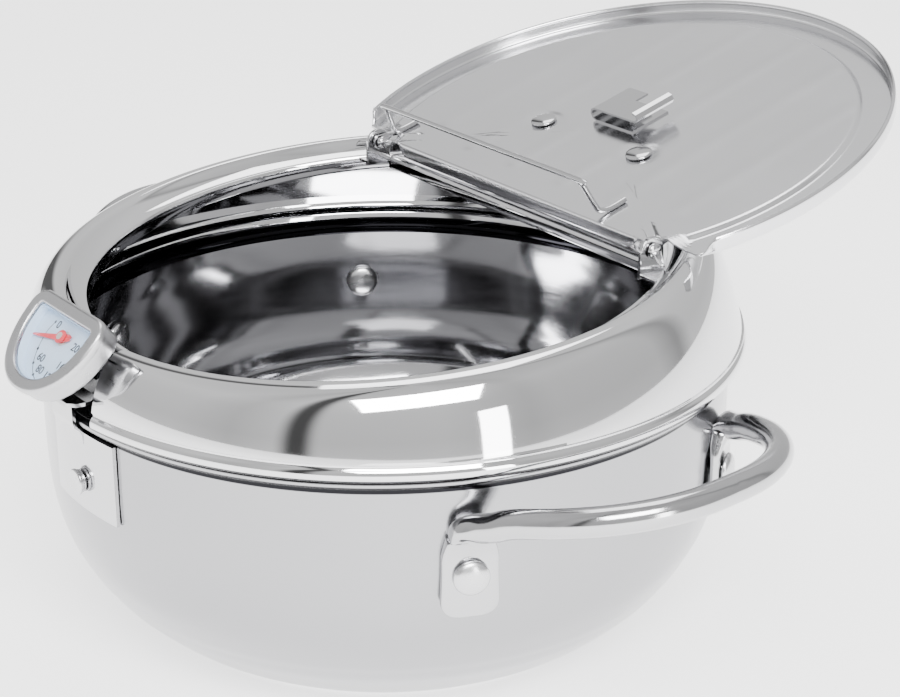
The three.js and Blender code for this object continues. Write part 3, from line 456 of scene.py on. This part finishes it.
HY, HZ = 53.0, 140.5
for nm, s in (("left", -1), ("right", 1)):
    top = [(5.4 * math.cos(rad(a)) * (0.92 if a not in (0, 180) else 0.95), 4.6 * math.sin(rad(a))) for a in range(0, 181, 12)]
    outline = [(5.6, -9.4)] + top + [(-5.4, -9.4)]
    v, f = sheet_prism([(HY + a, HZ + b) for a, b in outline], s * 79.0 - 0.7, s * 79.0 + 0.7)
    ear = make(f"hinge_ear_{nm}", v, f, M_BRIGHT, "cover", "mirror_steel", [], 30)
    b = ear.modifiers.new("edge", "BEVEL"); b.width = 0.25 * MM; b.segments = 2; b.limit_method = "ANGLE"
    # foot plate that ties the ear to the cover's lip
    v, f = sheet_prism([(48.9, 131.3), (59.7, 132.2), (59.7, 133.3), (48.9, 132.4)], min(s * 78.4, s * 88.0), max(s * 78.4, s * 88.0))
    ft = make(f"hinge_ear_foot_{nm}", v, f, M_BRIGHT, "cover", "mirror_steel", [], 30)
    b = ft.modifiers.new("edge", "BEVEL"); b.width = 0.2 * MM; b.segments = 2
    prof = [(0, -4.7), (1.5, -4.55), (2.1, -4.1), (2.3, -3.5), (2.3, -3.1), (1.4, -3.1), (1.4, 1.15), (2.5, 1.15), (2.75, 1.4), (2.7, 1.9), (2.2, 2.5), (1.2, 2.85), (0, 2.95)]
    m = Matrix.Translation((s * 79.0, HY, HZ)) @ Matrix.Rotation(s * math.pi / 2, 4, "Y")
    make(f"hinge_rivet_{nm}", *lathe(prof, 40), M_BRIGHT, "cover", "bright_steel", [f"hinge_pin_{nm}"], 40, matrix=m)

# ------------------------------------------------------------------ lid, in its own frame
LIDM = Matrix.Translation((0, HY, HZ)) @ Matrix.Rotation(rad(15.15), 4, "X")
LR_, LC, CH = 105.2, 51.7, 2.9
ribs = [(-65, 22, 112), (-39, 14, 34), (-39, 52, 132), (-13, 14, 49), (-13, 88, 143), (15, 14, 38), (15, 58, 143), (42, 14, 132), (68, 22, 112)]
def smooth(a, b, x):
    t = min(1.0, max(0.0, (x - a) / (b - a))); return t * t * (3 - 2 * t)
def panel_h(x, u):
    r = math.hypot(x, u - LC)
    h = -0.2 - 1.45 * smooth(91.2, 93.8, r)
    for rx, a, b in ribs:
        dx = max(0.0, abs(x - rx)); du = max(0.0, a + 3 - u, u - (b - 3))
        d = math.hypot(dx, du)
        h += 0.22 * (1 - smooth(0.8, 5.5, d)) * (1 - smooth(90, 92, r))
    for bx in (-29.5, 24.5):
        d = math.hypot(x - bx, u - 44.5); h -= 0.35 * (1 - smooth(5.5, 9.0, d))
    return h
def boundary(theta):
    """distance from the lid's centre to its outline"""
    c, s = math.cos(theta), math.sin(theta)
    best = LR_ - 1.3
    def hit(u_line, x_lo, x_hi):
        nonlocal best
        if s < 0:
            d = (u_line - LC) / s; x = d * c
            if d < best and x_lo <= abs(x) <= x_hi: best = d
    hit(CH, 0, 73.8)
    hit(7.6, 73.8, 130)
    return best
NT = 420
th = [2 * math.pi * k / NT for k in range(NT)]
# exact corners
for cx, cu in ((73.8, CH), (73.8, 7.6), (94.0, 7.6)):
    for sg in (1, -1):
        a = math.atan2(cu - LC, sg * cx) % (2 * math.pi)
        k = min(range(NT), key=lambda i: abs((th[i] - a + math.pi) % (2 * math.pi) - math.pi)); th[k] = a
srows = [0.0] + [0.02 + 0.8 * (k / 34) for k in range(35)] + [0.82 + 0.18 * (k / 34) for k in range(1, 35)]
v = []; f = []
n_skirt = 12
prof_sk = [(0.25, -0.12), (0.75, 0.15), (1.1, 0.65), (1.25, 1.3), (1.3, 2.2), (1.3, 3.4), (1.3, 4.4), (1.22, 4.9), (0.98, 5.1), (0.72, 4.95), (0.62, 4.6), (0.62, 4.0)]
for a in th:
    R = boundary(a); c, s = math.cos(a), math.sin(a)
    on_arc = R >= LR_ - 1.3 - 1e-6
    for sr in srows:
        x, u = R * sr * c, LC + R * sr * s
        v.append((x, u, panel_h(x, u)))
    ex, eu = R * c, LC + R * s; h0 = panel_h(ex, eu)
    on_chord = abs(eu - CH) < 0.02 and abs(ex) < 68.5
    up = smooth(1.0, 6.0, (eu - 7.6)) if on_arc else 0.0
    for k, (o, z) in enumerate(prof_sk):
        if on_arc:
            v.append(((R + o * up) * c, LC + (R + o * up) * s, h0 + z * max(up, 0.0)))
        elif on_chord:
            e = smooth(68.0, 62.0, abs(ex)) if False else max(0.0, min(1.0, (68.0 - abs(ex)) / 5.0)); e = math.sqrt(max(0.0, 1 - (1 - e) ** 2))
            q = min(k, 7) / 7.0
            v.append((ex, eu - 1.1 * math.sin(q * math.pi / 2) * 0.8 * (1 if e > 0 else 0) * e, h0 - (4.6 * q ** 1.3) * e))
        else:
            v.append((ex, eu, h0))
n = len(srows) + n_skirt
f = grid_faces(NT, n, True, False)
lidp = make("lid_panel", v, f, M_LID, "lid", "bright_steel", ["lid_plate"], 50, matrix=LIDM)
sm = lidp.modifiers.new("sheet", "SOLIDIFY"); sm.thickness = 0.85 * MM; sm.offset = 0.0
# knuckles of the lid inside the cover's ears
for nm, s in (("left", -1), ("right", 1)):
    outl = [(-3.1 * math.cos(rad(a)), 3.1 * math.sin(rad(a))) for a in range(-80, 81, 16)][::-1]
    outl = [(12.2, -1.05), (8.2, -1.7), (3.0, -2.9)] + [(y, z) for y, z in [(-3.1 * math.cos(rad(a)), 3.1 * math.sin(rad(a))) for a in range(-70, 71, 14)]] + [(3.0, 2.2), (6.0, 0.6), (12.2, -0.25)]
    v, f = sheet_prism(outl, s * 77.2 - 0.55, s * 77.2 + 0.55)
    kn = make(f"lid_knuckle_{nm}", v, f, M_BRIGHT, "lid", "bright_steel", [], 30, matrix=LIDM)
    b = kn.modifiers.new("edge", "BEVEL"); b.width = 0.2 * MM; b.segments = 2; b.limit_method = "ANGLE"
# rivets of the strap handle
for i, x in enumerate((-29.5, 24.5)):
    prof = rivet_profile(4.9, 1.7, 1.7, 4.2, 1.3, -3.1, 0.1)
    make(f"lid_rivet_head_{i + 1}", *lathe(prof, 56), M_BRIGHT, "lid", "rivet_steel", [f"lid_rivet_{i + 1}"], 45, matrix=LIDM @ Matrix.Translation((x, 44.5, 0)))

def keep(node, mat, width=0.25, seg=3, angle=30):
    o = NODES[node]
    o.data.materials.clear(); o.data.materials.append(mat)
    b = o.modifiers.new("edge", "BEVEL"); b.width = width * MM; b.segments = seg; b.limit_method = "ANGLE"; b.angle_limit = rad(angle)
    w = o.modifiers.new("normals", "WEIGHTED_NORMAL"); w.keep_sharp = False
    for p in o.data.polygons: p.use_smooth = True
    return o

keep("lid_handle", M_BRIGHT, 0.35)
keep("lid_clip", M_BRIGHT, 0.2)
keep("thermometer_bracket", M_BRIGHT, 0.25)

# ------------------------------------------------------------------ wire fence
def wire(name, pts, r, mat, body, slot, replaces, matrix, per=8, S=16, open_ends=True):
    P = [Vector(p) for p in catmull(pts, per)]
    n = len(P); W = None; v = []
    for i, p in enumerate(P):
        T = (P[min(n - 1, i + 1)] - P[max(0, i - 1)]).normalized()
        if W is None: W = T.orthogonal().normalized()
        W = (W - T * W.dot(T)).normalized(); D = T.cross(W)
        for k in range(S):
            a = 2 * math.pi * k / S; v.append(tuple(p + (W * math.cos(a) + D * math.sin(a)) * r))
    f = grid_faces(n, S, False, True) + [tuple(range(S)), tuple((n - 1) * S + k for k in range(S))]
    return make(name, v, f, mat, body, slot, replaces, 50, matrix=matrix)

z1, bs = 1.0, CH + 2.6
wire("fence_wire", [(-75, bs + 12, z1 + .35), (-75, bs + 5, z1 + .35), (-74.7, bs + 1.2, z1 + 1.2), (-74, bs, z1 + 3.2), (-72.6, bs - 1.6, 11.5), (-71.8, bs - 2.0, 13.6), (-69.6, bs - 2.2, 14.6), (-14, bs - 2.2, 14.6), (40.4, bs - 2.2, 14.6), (42.6, bs - 2.0, 13.6), (43.6, bs - 1.6, 11.5), (45.6, bs, z1 + 3.2), (46.4, bs + 1.2, z1 + 1.2), (47, bs + 5, z1 + .35), (47, bs + 12, z1 + .35)], 1.05, M_WIRE, "lid", "wire_steel", ["wire_fence"], LIDM)

# ------------------------------------------------------------------ thermometer, in its own frame
HEADM = Matrix.Translation((0, -129.0, 130.0)) @ Matrix.Rotation(rad(45), 4, "X")
def dee(d, per=1):
    Wd, top, bot, cy, rc = 22 - d, 10.95 - d, -21.55 + d, 3.4, max(1.5, 6.5 - d)
    pts = []
    for i in range(13): a = rad(90 * i / 12); pts.append((Wd - rc + rc * math.cos(a), top - rc + rc * math.sin(a)))
    for i in range(1, 12): pts.append((Wd - rc - 2 * (Wd - rc) * i / 12, top))
    for i in range(13): a = rad(90 + 90 * i / 12); pts.append((-Wd + rc + rc * math.cos(a), top - rc + rc * math.sin(a)))
    e = 2.15
    for i in range(61):
        a = rad(180 + 3 * i); c, s = math.cos(a), math.sin(a)
        pts.append((Wd * math.copysign(abs(c) ** (2 / e), c), cy + (cy - bot) * math.copysign(abs(s) ** (2 / e), s)))
    return pts
def dee_loft(name, rows, mat, slot, replaces, caps=(False, False), sharp=40):
    """rows of (inset, z); every row has the same count of points"""
    v = []
    for d, z in rows: v += [(x, y, z) for x, y in dee(d)]
    n = len(dee(0)); f = grid_faces(len(rows), n, False, True)
    if caps[0]: f.append(tuple(range(n)))
    if caps[1]: f.append(tuple((len(rows) - 1) * n + k for k in range(n)))
    return make(name, v, f, mat, "thermometer", slot, replaces, sharp, matrix=HEADM)
D_ = 9.3
dee_loft("case_shell", [(7, -D_), (2.2, -D_), (1.4, -D_ + 0.25), (0.9, -D_ + 0.7), (0.65, -D_ + 1.5), (0.6, -3.5), (1.5, -3.5), (1.5, -D_ + 1.1), (7, -D_ + 1.1)], M_CASE, "case_steel", ["thermometer_housing"], (True, True))
dee_loft("bezel_ring", [(0.6, -3.4), (0.1, -3.2), (0.0, -2.6), (0.0, -1.5), (0.12, -0.9), (0.45, -0.4), (1.0, -0.1), (1.7, 0.0), (3.6, 0.0), (4.3, -0.12), (4.7, -0.5), (4.8, -1.2), (4.8, -1.45), (1.3, -1.45), (1.3, -3.4), (0.6, -3.4)], M_CASE, "case_steel", ["thermometer_bezel"])
lens = dee_loft("dial_window", [(1.6, -2.4), (1.6, -1.55)], M_LENS, "lens", ["dial_lens"], (True, True))
dee_loft("dial_face", [(1.9, -5.4), (1.9, -4.9)], M_DIAL, "dial", ["dial_plate"], (True, True))
dee_loft("dial_surround", [(4.9, -1.6), (5.1, -4.85), (4.3, -4.85), (4.3, -2.5)], M_DIAL, "dial", [])
# stem, collar, coil, staff
def lath(name, prof, mat, slot, rep, seg=40, closed_=False, body="thermometer", sharp=40):
    v, f = lathe(prof, seg, closed_)
    return make(name, v, f, mat, body, slot, rep, sharp, matrix=HEADM)
lath("collar_ring", [(2.9, -D_ - 0.3), (4.7, -D_ - 0.3), (5.2, -D_ - 0.8), (5.2, -D_ - 4.8), (4.7, -D_ - 5.3), (2.9, -D_ - 5.3)], M_BRIGHT, "bright_steel", ["stem_collar"], closed_=True)
lath("probe_tube", [(0, -112), (0.9, -111.8), (1.7, -111.2), (2.3, -110.2), (2.5, -109), (2.5, -7.2), (1.95, -7.2), (1.95, -108.5), (0, -109.5)], M_BRIGHT, "bright_steel", ["probe_stem"])
hp = []
for i in range(7 * 10 + 1):
    a = 2 * math.pi * i / 10; hp.append((1.25 * math.cos(a), 1.25 * math.sin(a), -106 + 20 * i / 70))
wire("coil_strip", hp, 0.3, M_BIM, "thermometer", "bimetal", ["bimetal_coil"], HEADM, per=3, S=8)
lath("staff_rod", [(0, -85), (0.5, -84.8), (0.5, -4.9), (0, -4.8)], M_BRIGHT, "bright_steel", ["pointer_staff"], 16, body="indicator")
# pointer: tapered, slightly domed blade
na = rad(194.6)
half = [(-4.6, 0.7), (-3.4, 1.3), (-2.0, 1.45), (0, 1.3), (2.0, 1.15), (8.0, 0.8), (13.5, 0.5), (15.0, 0.36), (15.3, 0.1)]
pv = []
for sgn, zt in ((1, -4.05), (1, -3.78), (0, -3.7), (-1, -3.78), (-1, -4.05)):
    for x, w in half:
        y = w * sgn * (1.0 if zt == -4.05 else 0.85); pv.append((x * math.cos(na) - y * math.sin(na), x * math.sin(na) + y * math.cos(na), zt))
nh = len(half)
pf = grid_faces(5, nh, False, False) + [(4 * nh + i, 4 * nh + i + 1, i + 1, i) for i in range(nh - 1)]
pf += [tuple(k * nh for k in range(5)), tuple(k * nh + nh - 1 for k in range(5))[::-1]]
make("pointer_blade", pv, pf, M_RED, "indicator", "pointer_red", ["pointer"], 50, matrix=HEADM)
lath("pointer_boss", [(0, -4.5), (1.9, -4.5), (1.9, -4.35), (0.6, -4.35), (0.6, -3.6), (2.2, -3.6), (2.35, -3.4), (2.3, -3.1), (1.9, -2.9), (1.3, -2.82), (0, -2.8)], M_RED, "pointer_red", ["pointer_hub"], 40, body="indicator")
lath("pointer_cap", [(0, -2.95), (1.25, -2.9), (1.3, -2.75), (1.0, -2.62), (0, -2.58)], M_PALE, "pointer_red", [], 32, body="indicator")
lath("dial_pivot_plate", [(0, -4.86), (2.5, -4.86), (2.6, -4.75), (2.4, -4.6), (0, -4.6)], M_PALE, "dial", [], 32)

# printed scale: line, dots and generic numbers
scale_pts = [(-9.5, 3.2), (-10.4, -1.2), (-8.9, -7.0), (-6.2, -11.6), (-2.4, -14.7), (2.8, -16.1), (8.2, -14.0), (11.6, -9.4), (13.0, -3.8), (12.4, 1.6)]
line = catmull(scale_pts, 10)
lv, lf = [], []
for i, p in enumerate(line):
    a, b = line[max(0, i - 1)], line[min(len(line) - 1, i + 1)]
    dx, dy = b[0] - a[0], b[1] - a[1]; d = math.hypot(dx, dy)
    for s in (0.1, -0.1):
        for z in (-4.9, -4.84): lv.append((p[0] - dy / d * s, p[1] + dx / d * s, z))
for i in range(len(line) - 1):
    a = 4 * i; b = a + 4
    lf += [(a, b, b + 1, a + 1), (a + 1, b + 1, b + 3, a + 3), (a + 3, b + 3, b + 2, a + 2), (a + 2, b + 2, b, a)]
lf += [(0, 1, 3, 2), (len(lv) - 4, len(lv) - 2, len(lv) - 1, len(lv) - 3)]
for px, py in scale_pts:
    if (px, py) == (-10.4, -1.2): continue
    k0_ = len(lv)
    for z in (-4.9, -4.83):
        for j in range(14): lv.append((px + 0.5 * math.cos(j * math.pi / 7), py + 0.5 * math.sin(j * math.pi / 7), z))
    lf += [tuple(k0_ + j for j in range(14))[::-1], tuple(k0_ + 14 + j for j in range(14))] + [(k0_ + j, k0_ + (j + 1) % 14, k0_ + 14 + (j + 1) % 14, k0_ + 14 + j) for j in range(14)]
make("dial_scale_line", lv, lf, M_INK, "thermometer", "dial", [], 30, matrix=HEADM)
for txt, px, py in (("0", -6.9, 2.9), ("60", -4.3, -8.9), ("80", -0.9, -12.3), ("120", 5.4, -12.9), ("160", 8.4, -7.9), ("200", 9.3, -0.6)):
    cu = bpy.data.curves.new("num_" + txt, "FONT"); cu.body = txt; cu.size = 3.9 * MM; cu.extrude = 0.03 * MM
    cu.align_x = "CENTER"; cu.align_y = "CENTER"; cu.offset = 0.04 * MM
    o = bpy.data.objects.new("num_" + txt, cu); bpy.context.scene.collection.objects.link(o)
    bpy.context.view_layer.update()
    me = bpy.data.meshes.new_from_object(o.evaluated_get(bpy.context.evaluated_depsgraph_get()))
    bpy.data.objects.remove(o)
    mm = HEADM.copy(); mm.translation = mm.translation * MM
    me.transform(mm @ Matrix.Translation((px * MM, py * MM, -4.86 * MM)))
    me.materials.clear(); me.materials.append(M_INK)
    o = bpy.data.objects.new("dial_number_" + txt, me); bpy.context.scene.collection.objects.link(o)
    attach(o, "thermometer")

# any CAD node still showing without its own finish
for nme, o in NODES.items():
    if not o.hide_render and not o.data.materials: o.data.materials.append(M_BRIGHT)

# ------------------------------------------------------------------ stage: floor, world, lights
me = bpy.data.meshes.new("floor")
S_ = 6.0
me.from_pydata([(-S_, -S_, 0), (S_, -S_, 0), (S_, S_, 0), (-S_, S_, 0)], [], [(0, 1, 2, 3)])
fm, ft, fp = new_mat("floor_white")
fp.inputs["Roughness"].default_value = 0.6
fp.inputs["Emission Color"].default_value = (1.0, 1.0, 1.0, 1.0)
fp.inputs["Emission Strength"].default_value = 1.7
ft.links.new(ramp(ft, noise(ft, coords(ft), 3.0), [(0.3, 0.93), (0.7, 0.95)]), fp.inputs["Base Color"])
me.materials.append(fm)
fl = bpy.data.objects.new("floor", me); bpy.context.scene.collection.objects.link(fl)
fl.location.z = -0.0003

world = bpy.data.worlds.new("studio"); bpy.context.scene.world = world
world.use_nodes = True
wt = world.node_tree; wt.nodes.clear()
wo = wt.nodes.new("ShaderNodeOutputWorld"); bg = wt.nodes.new("ShaderNodeBackground")
wt.links.new(bg.outputs[0], wo.inputs[0])
tc = wt.nodes.new("ShaderNodeTexCoord"); sx = wt.nodes.new("ShaderNodeSeparateXYZ")
wt.links.new(tc.outputs["Generated"], sx.inputs[0])
elev = sx.outputs[2]
az = math_node(wt, "ARCTAN2", sx.outputs[1], sx.outputs[0])
base = ramp(wt, remap(wt, elev, 0.0, 1.0, -0.1, 1.0), [(0.0, 1.0), (0.10, 1.0), (0.20, 0.92), (0.55, 1.0), (0.75, 1.1), (1.0, 0.9)])
strips = ramp(wt, remap(wt, az, 0.0, 1.0, -math.pi, math.pi), [(0.0, 1.0), (0.22, 1.0), (0.27, 0.8), (0.31, 1.0), (0.322, 0.10), (0.334, 0.10), (0.345, 0.95), (0.45, 1.0), (0.525, 0.75), (0.55, 0.85), (0.66, 0.85), (0.69, 0.45), (0.71, 1.0), (0.94, 1.0), (0.96, 0.15), (0.985, 0.15), (1.0, 1.0)])
mx = wt.nodes.new("ShaderNodeMix"); mx.data_type = "RGBA"; mx.blend_type = "MULTIPLY"
mx.inputs["Factor"].default_value = 1.0
wt.links.new(base, mx.inputs["A"]); wt.links.new(strips, mx.inputs["B"])
wt.links.new(mx.outputs["Result"], bg.inputs[0])
bg.inputs[1].default_value = 1.0

def area(name, loc, target, sx_, sy_, power, color=(1, 1, 1)):
    d = bpy.data.lights.new(name, "AREA"); d.shape = "RECTANGLE"; d.size, d.size_y = sx_, sy_; d.energy = power; d.color = color
    o = bpy.data.objects.new(name, d); bpy.context.scene.collection.objects.link(o)
    o.location = loc; o.rotation_euler = (Vector(target) - Vector(loc)).to_track_quat("-Z", "Y").to_euler()
    return o
area("key_softbox", (1.02, -0.50, 1.20), (0, -0.06, 0.11), 0.9, 0.62, 42)
area("low_strip", (1.75, -0.12, 0.34), (0, 0, 0.1), 0.26, 0.8, 9)
area("top_softbox", (-0.5, 0.5, 1.9), (0, 0, 0.1), 1.0, 1.0, 14)

bpy.context.view_layer.update()
